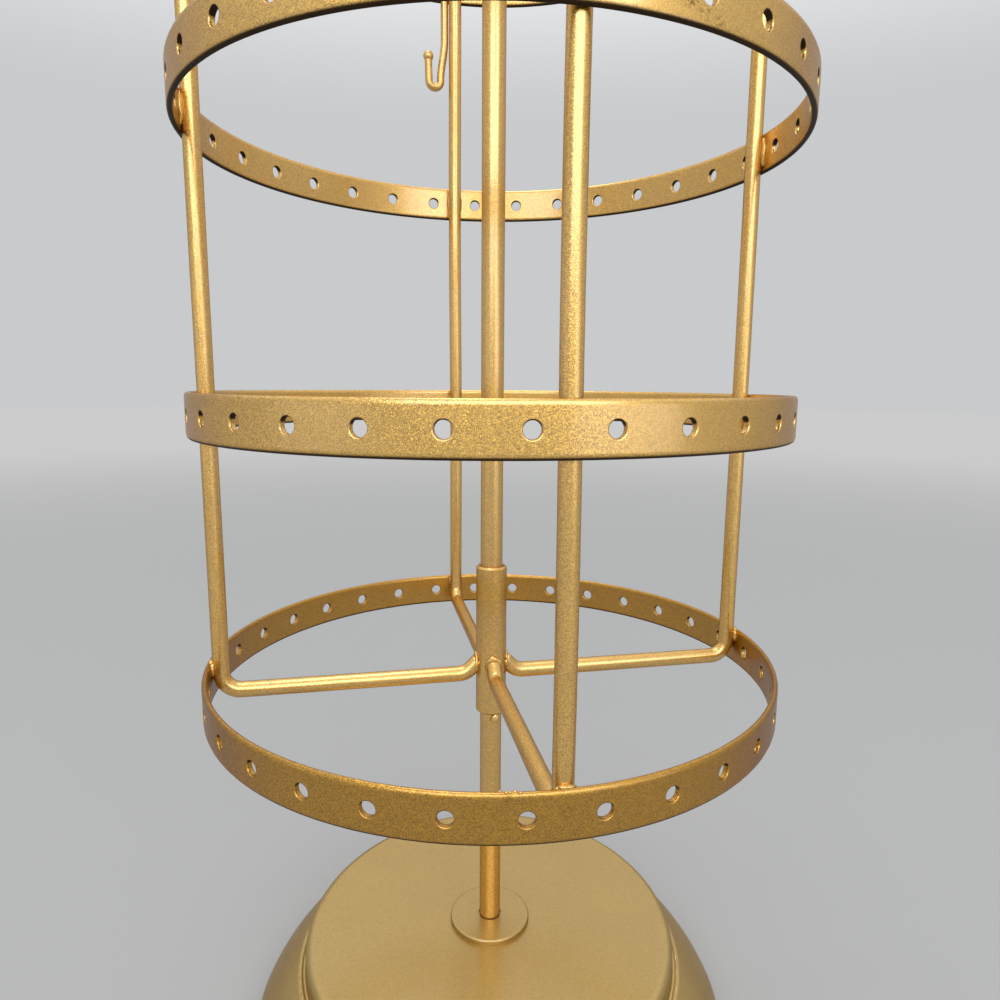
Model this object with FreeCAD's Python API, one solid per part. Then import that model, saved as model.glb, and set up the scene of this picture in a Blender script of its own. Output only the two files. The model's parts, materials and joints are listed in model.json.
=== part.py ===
import FreeCAD, Part
import math
import os

# Rotating earring carousel on a weighted round base.
# Lengths are in millimetres, angles in degrees, +Z is up.
# The origin is on the post's axis, on the surface that the stand rests on.
# The front faces -Y, and azimuths are measured from +X towards +Y.

# Perforated rings
TIERS = 4
TIER_PITCH = 69.3
RING_DIAMETER = 150.0
STRIP_HEIGHT = 10.3
STRIP_THICKNESS = 1.4
STRIP_EDGE_RADIUS = 0.65
HOLES_PER_RING = 32
HOLE_DIAMETER = 3.2
LOWEST_RING_HEIGHT = 105.2

# Upright wires, each bent in at both ends as a spoke
WIRE_DIAMETER = 4.2
WIRE_NAMES = ["front", "right", "back", "left"]
FRONT_WIRE_AZIMUTH = -79.3
ELBOW_RADIUS = 5.0
TOE_RADIUS = 5.0
TOE_ANGLE = 45.0
TOE_REACH = 5.0

# Hubs that turn on the post
POST_DIAMETER = 6.0
RUNNING_CLEARANCE = 0.05
HUB_DIAMETER = 8.4
HUB_LONG_END = 30.7
HUB_SHORT_END = 11.3
HUB_CHAMFER = 0.5
HUB_BORE_CHAMFER = 0.35

# Necklace hooks
HOOK_WIRE_DIAMETER = 2.5
HOOK_BEND_RADIUS = 2.9
HOOK_BALL_DIAMETER = 3.4
HOOK_TIP_RISE = 7.2
HOOK_DROP = 29.3
HOOK_TOP_MARGIN = 1.0

# Pin that carries the carousel
STOP_PIN_DIAMETER = 2.6
STOP_PIN_PROUD = 1.0
STOP_PIN_DOME = 0.4
STOP_PIN_AZIMUTH = -67.0
END_PLAY = 0.1

# Pressed base
BASE_TOP_HEIGHT = 25.6
BASE_DIAMETER = 134.0
DISC_DIAMETER = 106.0
DISC_EDGE_RADIUS = 2.2
DISC_STEP = 6.6
GROOVE_RADIUS = 0.6
GROOVE_EXIT_ANGLE = 60.0
CREST_RADIUS = 1.2
SHOULDER_RADIUS = 43.0
RIM_RADIUS = 2.0
SHELL_THICKNESS = 0.8
RIM_LIP_WIDTH = 3.0
RIM_CLEAR_OF_TABLE = 0.6

# Ballast, closing plate and pad under the shell
BALLAST_SIDE_GAP = 2.2
BALLAST_THICKNESS = 13.0
BALLAST_CHAMFER = 1.5
PLATE_THICKNESS = 0.8
PAD_MARGIN = 0.5

# Screwed joints at the two ends of the post
STUD_DIAMETER = 4.0
STUD_CLEARANCE = 0.05
STUD_PAST_NUT = 0.9
FOOT_WASHER_DIAMETER = 23.0
FOOT_WASHER_THICKNESS = 1.4
FOOT_WASHER_EDGE = 0.5
FOOT_SEAT_DEPTH = 0.5
FOOT_SEAT_GAP = 0.35
NUT_WASHER_DIAMETER = 12.0
NUT_WASHER_THICKNESS = 1.0
NUT_SIDES = 6
NUT_FLATS = 7.0
NUT_HEIGHT = 3.2
TOP_WASHER_DIAMETER = 10.0
TOP_WASHER_THICKNESS = 1.0
TOP_STUD_LENGTH = 9.0
FINIAL_BALL_DIAMETER = 15.0
FINIAL_COLLAR_DIAMETER = 9.0
FINIAL_COLLAR_HEIGHT = 2.0
FINIAL_NECK_DIAMETER = 6.4
FINIAL_NECK_HEIGHT = 2.4
FINIAL_BORE_SPARE = 1.0

# Sizes that follow from the ones above
ring_outer = RING_DIAMETER / 2
ring_inner = ring_outer - STRIP_THICKNESS
wire_radius = WIRE_DIAMETER / 2
upright_radius = ring_inner - wire_radius
ring_heights = [LOWEST_RING_HEIGHT + tier * TIER_PITCH for tier in range(TIERS)]
lower_spoke_height = ring_heights[0] - STRIP_HEIGHT / 2 + wire_radius
upper_spoke_height = ring_heights[-1] + STRIP_HEIGHT / 2 - wire_radius
post_radius = POST_DIAMETER / 2
hub_radius = HUB_DIAMETER / 2
hub_length = HUB_LONG_END + HUB_SHORT_END
lower_hub_bottom = lower_spoke_height - HUB_SHORT_END
upper_hub_bottom = upper_spoke_height - HUB_LONG_END
upper_hub_top = upper_hub_bottom + hub_length
post_top = upper_hub_top + END_PLAY
foot_washer_top = BASE_TOP_HEIGHT + FOOT_WASHER_THICKNESS
post_foot = foot_washer_top - FOOT_SEAT_DEPTH
shell_inside_top = BASE_TOP_HEIGHT - SHELL_THICKNESS
ballast_radius = DISC_DIAMETER / 2 - SHELL_THICKNESS - BALLAST_SIDE_GAP
ballast_bottom = shell_inside_top - BALLAST_THICKNESS
nut_washer_bottom = ballast_bottom - NUT_WASHER_THICKNESS
nut_bottom = nut_washer_bottom - NUT_HEIGHT
stud_radius = STUD_DIAMETER / 2
stud_hole_radius = stud_radius + STUD_CLEARANCE
lip_inner_radius = BASE_DIAMETER / 2 - RIM_RADIUS - RIM_LIP_WIDTH
plate_bottom = RIM_CLEAR_OF_TABLE + SHELL_THICKNESS
hole_spacing = 360.0 / HOLES_PER_RING
wire_spacing = 360.0 / len(WIRE_NAMES)

UP = FreeCAD.Vector(0, 0, 1)
OUTWARD = FreeCAD.Vector(1, 0, 0)
SIDEWAYS = FreeCAD.Vector(0, 1, 0)
ORIGIN = FreeCAD.Vector(0, 0, 0)


def at(radius, height):
    """A point of a section, by its distance from the post's axis and its height."""
    return FreeCAD.Vector(radius, 0, height)


def on_circle(centre, radius, angle):
    """The point of a section circle that its outward direction at this angle meets."""
    turn = math.radians(angle)
    return centre + FreeCAD.Vector(math.cos(turn), 0, math.sin(turn)) * radius


def arc(centre, radius, start_angle, end_angle):
    """A section arc between two angles, going the way the angles run."""
    middle_angle = (start_angle + end_angle) / 2
    start = on_circle(centre, radius, start_angle)
    middle = on_circle(centre, radius, middle_angle)
    end = on_circle(centre, radius, end_angle)
    return Part.Arc(start, middle, end).toShape()


def lines(*points):
    """Straight edges through the points in turn."""
    return [Part.LineSegment(a, b).toShape() for a, b in zip(points, points[1:])]


def turned(edges):
    """The solid that a closed section makes when it is turned once round the post's axis."""
    section = Part.Face(Part.Wire(edges))
    return section.revolve(ORIGIN, UP, 360)


def tube(outer_radius, inner_radius, bottom, height):
    """A round tube or washer on the post's axis."""
    outside = Part.makeCylinder(outer_radius, height, at(0, bottom))
    bore = Part.makeCylinder(inner_radius, height, at(0, bottom))
    return outside.cut(bore)


def bent_wire(edges, radius):
    """A round wire swept along a path of straight runs and tangent arcs."""
    path = Part.Wire(edges)
    start = edges[0].valueAt(edges[0].FirstParameter)
    heading = edges[0].tangentAt(edges[0].FirstParameter)
    section = Part.Wire([Part.Circle(start, heading, radius).toShape()])
    return path.makePipeShell([section], True, False)


def spun(shape, azimuth):
    """A copy of the shape turned about the post's axis."""
    copy = shape.copy()
    copy.rotate(ORIGIN, UP, azimuth)
    return copy


# Rings

def strip_section(height):
    """The strip's section: a tall rectangle whose four corners are rounded."""
    corner = STRIP_EDGE_RADIUS
    outer = ring_outer - corner
    inner = ring_inner + corner
    top = height + STRIP_HEIGHT / 2 - corner
    bottom = height - STRIP_HEIGHT / 2 + corner
    return [
        *lines(at(ring_outer, bottom), at(ring_outer, top)),
        arc(at(outer, top), corner, 0, 90),
        *lines(at(outer, top + corner), at(inner, top + corner)),
        arc(at(inner, top), corner, 90, 180),
        *lines(at(ring_inner, top), at(ring_inner, bottom)),
        arc(at(inner, bottom), corner, 180, 270),
        *lines(at(inner, bottom - corner), at(outer, bottom - corner)),
        arc(at(outer, bottom), corner, 270, 360),
    ]


def perforated_ring(height):
    """A flat strip rolled into a ring, with a row of punched holes round its middle."""
    ring = turned(strip_section(height))
    punch = Part.makeCylinder(HOLE_DIAMETER / 2, ring_outer, at(ring_outer / 2, height), OUTWARD)
    first_hole = FRONT_WIRE_AZIMUTH + hole_spacing / 2
    punches = [spun(punch, first_hole + number * hole_spacing) for number in range(HOLES_PER_RING)]
    return ring.cut(Part.makeCompound(punches))


# Uprights

def spoke_toe(spoke_height, rise):
    """The bend at a spoke's inner end, where it leans along the hub before it is welded there."""
    bend_start = at(hub_radius + TOE_REACH, spoke_height)
    bend_centre = bend_start + at(0, rise * TOE_RADIUS)
    bend = arc(bend_centre, TOE_RADIUS, rise * -90, rise * (-90 - TOE_ANGLE))
    bend_end = on_circle(bend_centre, TOE_RADIUS, rise * (-90 - TOE_ANGLE))
    slope = math.radians(TOE_ANGLE)
    last_run = bend_end.x
    tip = bend_end + FreeCAD.Vector(-last_run, 0, rise * last_run * math.tan(slope))
    run = Part.LineSegment(bend_end, tip).toShape()
    return bend_start, bend, run


def upright_wire():
    """One upright: a toe and spoke below, an elbow, the rod, an elbow, a spoke and toe above."""
    low_start, low_bend, low_run = spoke_toe(lower_spoke_height, 1)
    high_start, high_bend, high_run = spoke_toe(upper_spoke_height, -1)
    elbow_axis = upright_radius - ELBOW_RADIUS
    low_corner = at(elbow_axis, lower_spoke_height + ELBOW_RADIUS)
    high_corner = at(elbow_axis, upper_spoke_height - ELBOW_RADIUS)
    low_elbow = arc(low_corner, ELBOW_RADIUS, -90, 0)
    high_elbow = arc(high_corner, ELBOW_RADIUS, 0, 90)
    low_spoke = Part.LineSegment(low_start, at(elbow_axis, lower_spoke_height)).toShape()
    rod = Part.LineSegment(at(upright_radius, low_corner.z), at(upright_radius, high_corner.z)).toShape()
    high_spoke = Part.LineSegment(at(elbow_axis, upper_spoke_height), high_start).toShape()
    path = [low_run, low_bend, low_spoke, low_elbow, rod, high_elbow, high_spoke, high_bend, high_run]
    wire = bent_wire(Part.__sortEdges__(path), wire_radius)
    hubs = Part.makeCylinder(hub_radius, post_top, ORIGIN)
    return wire.cut(hubs)


# Hubs

def hub_sleeve(bottom):
    """A tube that runs on the post, chamfered outside and in its bore at both ends."""
    bore = post_radius + RUNNING_CLEARANCE
    top = bottom + hub_length
    return turned(lines(
        at(bore, bottom + HUB_BORE_CHAMFER),
        at(bore + HUB_BORE_CHAMFER, bottom),
        at(hub_radius - HUB_CHAMFER, bottom),
        at(hub_radius, bottom + HUB_CHAMFER),
        at(hub_radius, top - HUB_CHAMFER),
        at(hub_radius - HUB_CHAMFER, top),
        at(bore + HUB_BORE_CHAMFER, top),
        at(bore, top - HUB_BORE_CHAMFER),
        at(bore, bottom + HUB_BORE_CHAMFER),
    ))


# Hooks

def necklace_hook():
    """A ball-tipped J of thin wire beside one upright, hung from the top ring's inner face."""
    reach = ring_inner - HOOK_WIRE_DIAMETER / 2
    stem_side = wire_radius + HOOK_WIRE_DIAMETER / 2
    tip_side = stem_side + 2 * HOOK_BEND_RADIUS
    top = ring_heights[-1] + STRIP_HEIGHT / 2 - HOOK_TOP_MARGIN
    bend_height = ring_heights[-1] - HOOK_DROP
    stem_end = FreeCAD.Vector(reach, stem_side, bend_height)
    bottom = FreeCAD.Vector(reach, stem_side + HOOK_BEND_RADIUS, bend_height - HOOK_BEND_RADIUS)
    tip_start = FreeCAD.Vector(reach, tip_side, bend_height)
    ball_centre = FreeCAD.Vector(reach, tip_side, bend_height + HOOK_TIP_RISE)
    stem = Part.LineSegment(FreeCAD.Vector(reach, stem_side, top), stem_end).toShape()
    bend = Part.Arc(stem_end, bottom, tip_start).toShape()
    tip = Part.LineSegment(tip_start, ball_centre).toShape()
    wire = bent_wire([stem, bend, tip], HOOK_WIRE_DIAMETER / 2)
    ball = Part.makeSphere(HOOK_BALL_DIAMETER / 2, ball_centre)
    on_ring = wire.fuse(ball)
    curve_room = tube(2 * ring_outer, ring_inner, bend_height, top - bend_height)
    return on_ring.cut(curve_room)


# Post and its pin

def stop_pin():
    """A short cross pin with domed ends, on which the lower hub rests."""
    half_length = post_radius + STOP_PIN_PROUD
    shoulder = half_length - STOP_PIN_DOME
    radius = STOP_PIN_DIAMETER / 2
    dome_radius = (radius ** 2 + STOP_PIN_DOME ** 2) / (2 * STOP_PIN_DOME)
    dome_angle = math.degrees(math.asin(radius / dome_radius))
    outline = [
        *lines(at(0, -half_length), at(0, half_length)),
        arc(at(0, half_length - dome_radius), dome_radius, 90, 90 - dome_angle),
        *lines(at(radius, shoulder), at(radius, -shoulder)),
        arc(at(0, dome_radius - half_length), dome_radius, dome_angle - 90, -90),
    ]
    pin = turned(outline)
    pin.rotate(ORIGIN, SIDEWAYS, 90)
    pin.translate(at(0, lower_hub_bottom - END_PLAY - radius))
    return spun(pin, STOP_PIN_AZIMUTH)


def post(pin):
    """The fixed rod, with a thinner screwed stud at each end and a cross hole for the pin."""
    rod = Part.makeCylinder(post_radius, post_top - post_foot, at(0, post_foot))
    stud_bottom = nut_bottom - STUD_PAST_NUT
    stud_top = post_top + TOP_WASHER_THICKNESS + TOP_STUD_LENGTH
    stud = Part.makeCylinder(stud_radius, stud_top - stud_bottom, at(0, stud_bottom))
    return rod.fuse(stud).cut(pin)


# Base

def tangent_centre(low_centre, low_radius, high_centre, high_radius, radius):
    """The centre of the large arc that holds two small convex arcs inside it, touching both."""
    span = high_centre - low_centre
    distance = span.Length
    to_low = radius - low_radius
    to_high = radius - high_radius
    along = (to_low ** 2 - to_high ** 2 + distance ** 2) / (2 * distance)
    across = math.sqrt(to_low ** 2 - along ** 2)
    direction = span / distance
    inward = FreeCAD.Vector(-direction.z, 0, direction.x)
    if inward.x > 0:
        inward = inward * -1
    return low_centre + direction * along + inward * across


def angle_from(centre, point):
    """The direction of a section point as seen from another, in degrees."""
    return math.degrees(math.atan2(point.z - centre.z, point.x - centre.x))


def shell_skin(inset):
    """The pressed shell's skin from the axis to the lip, moved inwards by the inset.

    Convex bends lose the inset from their radius and the groove gains it, so both skins
    of the sheet follow the same centres.
    """
    disc_radius = DISC_DIAMETER / 2
    edge_centre = at(disc_radius - DISC_EDGE_RADIUS, BASE_TOP_HEIGHT - DISC_EDGE_RADIUS)
    groove_centre = at(disc_radius + GROOVE_RADIUS, BASE_TOP_HEIGHT - DISC_STEP)
    crest_centre = on_circle(groove_centre, GROOVE_RADIUS + CREST_RADIUS, -GROOVE_EXIT_ANGLE)
    rim_centre = at(BASE_DIAMETER / 2 - RIM_RADIUS, RIM_CLEAR_OF_TABLE + RIM_RADIUS)
    shoulder_centre = tangent_centre(rim_centre, RIM_RADIUS, crest_centre, CREST_RADIUS, SHOULDER_RADIUS)
    crest_end = angle_from(shoulder_centre, crest_centre)
    rim_start = angle_from(shoulder_centre, rim_centre)
    top = at(0, BASE_TOP_HEIGHT - inset)
    top_end = at(edge_centre.x, BASE_TOP_HEIGHT - inset)
    wall_top = at(disc_radius - inset, edge_centre.z)
    wall_foot = at(disc_radius - inset, groove_centre.z)
    lip_start = at(rim_centre.x, RIM_CLEAR_OF_TABLE + inset)
    lip_end = at(lip_inner_radius, RIM_CLEAR_OF_TABLE + inset)
    return [
        *lines(top, top_end),
        arc(edge_centre, DISC_EDGE_RADIUS - inset, 90, 0),
        *lines(wall_top, wall_foot),
        arc(groove_centre, GROOVE_RADIUS + inset, 180, 360 - GROOVE_EXIT_ANGLE),
        arc(crest_centre, CREST_RADIUS - inset, 180 - GROOVE_EXIT_ANGLE, crest_end),
        arc(shoulder_centre, SHOULDER_RADIUS - inset, crest_end, rim_start),
        arc(rim_centre, RIM_RADIUS - inset, rim_start, -90),
        *lines(lip_start, lip_end),
    ]


def base_shell():
    """A sheet pressed into a raised disc, a groove, a rounded shoulder and a turned-in lip."""
    lip_edge = lines(at(lip_inner_radius, RIM_CLEAR_OF_TABLE), at(lip_inner_radius, plate_bottom))
    crown = lines(at(0, shell_inside_top), at(0, BASE_TOP_HEIGHT))
    section = Part.__sortEdges__(shell_skin(0) + lip_edge + shell_skin(SHELL_THICKNESS) + crown)
    stud_hole = Part.makeCylinder(stud_hole_radius, BASE_TOP_HEIGHT, ORIGIN)
    return turned(section).cut(stud_hole)


def base_ballast():
    """A cast disc that fills the raised part of the shell and keeps the stand steady."""
    disc = tube(ballast_radius, stud_hole_radius, ballast_bottom, BALLAST_THICKNESS)
    rim_length = 2 * math.pi * ballast_radius
    rims = [edge for edge in disc.Edges if abs(edge.Length - rim_length) < BALLAST_CHAMFER]
    return disc.makeChamfer(BALLAST_CHAMFER, rims)


def base_plate():
    """The sheet that closes the shell from below, held by the turned-in lip."""
    radius = BASE_DIAMETER / 2 - RIM_RADIUS
    return Part.makeCylinder(radius, PLATE_THICKNESS, at(0, plate_bottom))


def base_pad():
    """The soft pad under the plate, a little proud of the lip."""
    return Part.makeCylinder(lip_inner_radius - PAD_MARGIN, plate_bottom, ORIGIN)


# Screwed parts on the post

def foot_washer():
    """The wide washer at the post's foot: a rounded upper edge, and a recess that the post stands in."""
    washer_radius = FOOT_WASHER_DIAMETER / 2
    seat_radius = post_radius + FOOT_SEAT_GAP
    edge_centre = at(washer_radius - FOOT_WASHER_EDGE, foot_washer_top - FOOT_WASHER_EDGE)
    return turned([
        *lines(at(edge_centre.x, foot_washer_top), at(seat_radius, foot_washer_top),
               at(seat_radius, post_foot), at(stud_hole_radius, post_foot),
               at(stud_hole_radius, BASE_TOP_HEIGHT), at(washer_radius, BASE_TOP_HEIGHT),
               at(washer_radius, edge_centre.z)),
        arc(edge_centre, FOOT_WASHER_EDGE, 0, 90),
    ])


def nut_washer():
    """The washer between the ballast and the nut."""
    return tube(NUT_WASHER_DIAMETER / 2, stud_hole_radius, nut_washer_bottom, NUT_WASHER_THICKNESS)


def hex_nut():
    """The nut that draws the post, washer, shell and ballast together."""
    half_turn = math.pi / NUT_SIDES
    corner_radius = NUT_FLATS / 2 / math.cos(half_turn)
    turns = [2 * half_turn * corner for corner in range(NUT_SIDES)]
    corners = [FreeCAD.Vector(math.cos(turn), math.sin(turn), 0) * corner_radius for turn in turns]
    hexagon = Part.Face(Part.makePolygon(corners + corners[:1]))
    body = hexagon.extrude(UP * NUT_HEIGHT)
    body.translate(at(0, nut_bottom))
    return body.cut(Part.makeCylinder(stud_hole_radius, NUT_HEIGHT, at(0, nut_bottom)))


def top_washer():
    """The washer on the post's upper shoulder that keeps the carousel from lifting off."""
    return tube(TOP_WASHER_DIAMETER / 2, stud_hole_radius, post_top, TOP_WASHER_THICKNESS)


def finial():
    """The ball nut on top: a collar, a hollow neck and a ball, with a blind screwed bore."""
    collar_radius = FINIAL_COLLAR_DIAMETER / 2
    neck_radius = FINIAL_NECK_DIAMETER / 2
    ball_radius = FINIAL_BALL_DIAMETER / 2
    bottom = post_top + TOP_WASHER_THICKNESS
    collar_top = bottom + FINIAL_COLLAR_HEIGHT
    neck_top = collar_top + FINIAL_NECK_HEIGHT
    sink = math.sqrt(ball_radius ** 2 - neck_radius ** 2)
    ball_centre = at(0, neck_top + sink)
    neck_angle = math.degrees(math.atan2(-sink, neck_radius))
    round_centre = at(collar_radius - FINIAL_COLLAR_HEIGHT / 2, bottom + FINIAL_COLLAR_HEIGHT / 2)
    bore_top = bottom + TOP_STUD_LENGTH + FINIAL_BORE_SPARE
    outline = [
        *lines(at(stud_hole_radius, bottom), at(round_centre.x, bottom)),
        arc(round_centre, FINIAL_COLLAR_HEIGHT / 2, -90, 90),
        *lines(at(round_centre.x, collar_top), at(neck_radius, collar_top), at(neck_radius, neck_top)),
        arc(ball_centre, ball_radius, neck_angle, 90),
        *lines(at(0, ball_centre.z + ball_radius), at(0, bore_top), at(stud_hole_radius, bore_top),
               at(stud_hole_radius, bottom)),
    ]
    return turned(outline)


# Assembly

pin = stop_pin()
parts = {
    "base_shell": base_shell(),
    "base_ballast": base_ballast(),
    "base_plate": base_plate(),
    "base_pad": base_pad(),
    "foot_washer": foot_washer(),
    "nut_washer": nut_washer(),
    "base_nut": hex_nut(),
    "post": post(pin),
    "stop_pin": pin,
    "top_washer": top_washer(),
    "finial": finial(),
    "lower_hub": hub_sleeve(lower_hub_bottom),
    "upper_hub": hub_sleeve(upper_hub_bottom),
}
for tier, ring_height in enumerate(ring_heights):
    parts["ring_" + str(tier + 1)] = perforated_ring(ring_height)
for number, side in enumerate(WIRE_NAMES):
    wire_azimuth = FRONT_WIRE_AZIMUTH + number * wire_spacing
    parts["upright_" + side] = spun(upright_wire(), wire_azimuth)
    parts["hook_" + side] = spun(necklace_hook(), wire_azimuth)

os.makedirs("parts", exist_ok=True)
for name, shape in parts.items():
    shape.exportStep("parts/" + name + ".step")
    print(name, "solids", len(shape.Solids), "volume", round(shape.Volume, 1), "valid", shape.isValid())
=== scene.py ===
import json
import math

import bmesh
import bpy
import numpy as np
from mathutils import Matrix, Vector

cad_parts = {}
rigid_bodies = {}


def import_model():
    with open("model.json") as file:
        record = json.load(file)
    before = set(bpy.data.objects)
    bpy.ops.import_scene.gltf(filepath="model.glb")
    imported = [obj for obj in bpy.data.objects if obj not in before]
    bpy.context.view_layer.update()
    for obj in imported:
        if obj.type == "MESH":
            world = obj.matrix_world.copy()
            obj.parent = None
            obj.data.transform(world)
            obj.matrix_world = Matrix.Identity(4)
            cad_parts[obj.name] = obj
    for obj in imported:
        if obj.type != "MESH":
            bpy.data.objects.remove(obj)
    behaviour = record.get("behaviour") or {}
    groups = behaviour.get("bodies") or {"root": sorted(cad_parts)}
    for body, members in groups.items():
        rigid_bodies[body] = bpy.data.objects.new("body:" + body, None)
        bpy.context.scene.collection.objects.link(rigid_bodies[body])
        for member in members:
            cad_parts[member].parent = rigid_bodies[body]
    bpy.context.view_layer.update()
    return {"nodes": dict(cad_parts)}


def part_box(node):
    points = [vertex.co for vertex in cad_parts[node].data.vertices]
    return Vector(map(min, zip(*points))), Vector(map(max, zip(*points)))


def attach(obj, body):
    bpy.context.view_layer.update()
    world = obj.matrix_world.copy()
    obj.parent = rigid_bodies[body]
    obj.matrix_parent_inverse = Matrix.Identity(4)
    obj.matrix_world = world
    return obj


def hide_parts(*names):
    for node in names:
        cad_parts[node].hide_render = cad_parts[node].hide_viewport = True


for leftover in list(bpy.data.objects):
    bpy.data.objects.remove(leftover)
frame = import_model()


# ---------------------------------------------------------------- Base shell
# The visible base is one sheet of steel, pressed into a raised round disc, a narrow groove and
# a rounded shoulder. It is sprayed with a smooth champagne-gold paint that holds fine metal
# flake, baked on before the stand is screwed together.

MM = 0.001

BASE_DARK = (0.39, 0.245, 0.055, 1.0)
BASE_LIGHT = (0.52, 0.345, 0.09, 1.0)
BASE_FLAKE = 0.18 * MM
BASE_ROUGHNESS = 0.44
BASE_COAT_IOR = 2.15
BASE_SPARKLE = 0.07

PAINT_METALLIC = 0.92
PAINT_RELIEF = 0.004 * MM
EDGE_TINT = (0.3, 0.2, 0.1, 1.0)
COAT_WEIGHT = 0.5
COAT_ROUGHNESS = 0.22
CLOUD_TONE = 0.06
CLOUD_ROUGHNESS = 0.04

# Every pattern's scale is in cells to the metre.
CLOUD_SCALE = 55.0
RIPPLE_SCALE = 1400.0


class Finish:
    """One finish: a material whose shader nodes are added here and joined by socket name."""

    def __init__(self, name):
        self.material = bpy.data.materials.new(name)
        self.material.use_nodes = True
        self.tree = self.material.node_tree
        self.shader = self.tree.nodes["Principled BSDF"]
        self.place = self.node("TexCoord").outputs["Object"]

    def node(self, kind, settings=None, **inputs):
        """A node of this kind, with its settings and its inputs given as values or sockets."""
        made = self.tree.nodes.new("ShaderNode" + kind)
        for setting, value in (settings or {}).items():
            setattr(made, setting, value)
        for socket, value in inputs.items():
            self.feed(made, socket.replace("_", " "), value)
        return made

    def feed(self, made, socket, value):
        """Gives one input of a node a plain value or the output of another node."""
        target = made.inputs[int(socket)] if socket.isdigit() else made.inputs[socket]
        if isinstance(value, bpy.types.NodeSocket):
            self.tree.links.new(value, target)
        else:
            target.default_value = value

    def feeding(self, socket):
        """The output that feeds one input of the shader."""
        return self.shader.inputs[socket].links[0].from_socket

    def spread(self, value, low, high):
        """The value, running from 0 to 1, stretched to run from low to high."""
        return self.node("MapRange", To_Min=low, To_Max=high, Value=value).outputs["Result"]

    def rise(self, value, start, end):
        """A smooth step: 0 where the value hasn't reached the start, 1 where it is past the end."""
        return self.node("MapRange", {"interpolation_type": "SMOOTHSTEP"}, Value=value,
                         From_Min=start, From_Max=end).outputs["Result"]

    def number(self, operation, first, second):
        """One step of arithmetic on two numbers."""
        made = self.node("Math", {"operation": operation})
        self.feed(made, "0", first)
        self.feed(made, "1", second)
        return made.outputs["Value"]

    def vector(self, operation, first, second=(0.0, 0.0, 0.0)):
        """One step of arithmetic on vectors, as the node, which gives a vector or a value."""
        made = self.node("VectorMath", {"operation": operation})
        self.feed(made, "0", first)
        self.feed(made, "1", second)
        return made

    def scaled(self, colour, factor):
        """A colour or vector multiplied by a factor."""
        made = self.vector("SCALE", colour)
        self.feed(made, "Scale", factor)
        return made.outputs["Vector"]

    def mixed(self, factor, first, second):
        """A colour between two others."""
        made = self.node("Mix", {"data_type": "RGBA"})
        self.feed(made, "0", factor)
        self.feed(made, "6", first)
        self.feed(made, "7", second)
        return made.outputs[2]

    def tilted(self, amount, direction):
        """The surface's normal leant over by a share of a random direction from 0 to 1."""
        centred = self.vector("SUBTRACT", direction, (0.5, 0.5, 0.5)).outputs["Vector"]
        normal = self.node("NewGeometry").outputs["Normal"]
        leant = self.vector("ADD", normal, self.scaled(centred, amount)).outputs["Vector"]
        return self.vector("NORMALIZE", leant).outputs["Vector"]


def flake_paint(name, dark, light, flake, roughness, coat_ior, sparkle, relief=PAINT_RELIEF):
    """Metallic paint over steel, under a clear coat that counts for half.

    Each cell of a fine cell pattern is one flake. It lies flat and shows the light tone, or on
    edge and shows the dark resin, and it leans its own way by the sparkle's share. A slow cloud
    pattern shifts colour and roughness, and a ripple under a millimetre long stands for the
    sprayed coat. The higher the coat's index is, the paler are the highlights and the darker is
    the paint beside them.
    """
    paint = Finish(name)
    flakes = paint.node("TexVoronoi", Vector=paint.place, Scale=1 / flake)
    share = paint.node("SeparateColor", Color=flakes.outputs["Color"]).outputs["Red"]
    cloud = paint.node("TexNoise", Vector=paint.place, Scale=CLOUD_SCALE, Detail=2.0).outputs["Fac"]
    ripple = paint.node("TexNoise", Vector=paint.place, Scale=RIPPLE_SCALE, Detail=1.0).outputs["Fac"]
    leant = paint.tilted(sparkle, flakes.outputs["Color"])
    coat = paint.node("Bump", Height=ripple, Distance=relief, Normal=leant)
    clouded = paint.spread(cloud, 1 - CLOUD_TONE, 1 + CLOUD_TONE)
    paint.feed(paint.shader, "Base Color", paint.scaled(paint.mixed(share, dark, light), clouded))
    paint.feed(paint.shader, "Roughness",
               paint.spread(cloud, roughness - CLOUD_ROUGHNESS, roughness + CLOUD_ROUGHNESS))
    paint.feed(paint.shader, "Normal", coat.outputs["Normal"])
    paint.feed(paint.shader, "Metallic", PAINT_METALLIC)
    paint.feed(paint.shader, "Specular Tint", EDGE_TINT)
    paint.feed(paint.shader, "Coat Weight", COAT_WEIGHT)
    paint.feed(paint.shader, "Coat Roughness", COAT_ROUGHNESS)
    paint.feed(paint.shader, "Coat IOR", coat_ior)
    return paint


def finish_node(name, finish):
    """A CAD node keeps its shape and gets a finish."""
    node = frame["nodes"][name]
    node.data.materials.clear()
    node.data.materials.append(finish.material)


base_paint = flake_paint("champagne_gold_paint", BASE_DARK, BASE_LIGHT, BASE_FLAKE, BASE_ROUGHNESS,
                         BASE_COAT_IOR, BASE_SPARKLE)
finish_node("base_shell", base_paint)


# ---------------------------------------------------------------- Ballast and underside
# Inside the shell a cast iron disc keeps the stand from tipping. A hexagon nut and a washer,
# both zinc plated, draw it up on the post's stud. A black primed sheet closes the shell from
# below, and a foam rubber pad is glued under that sheet.

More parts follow.
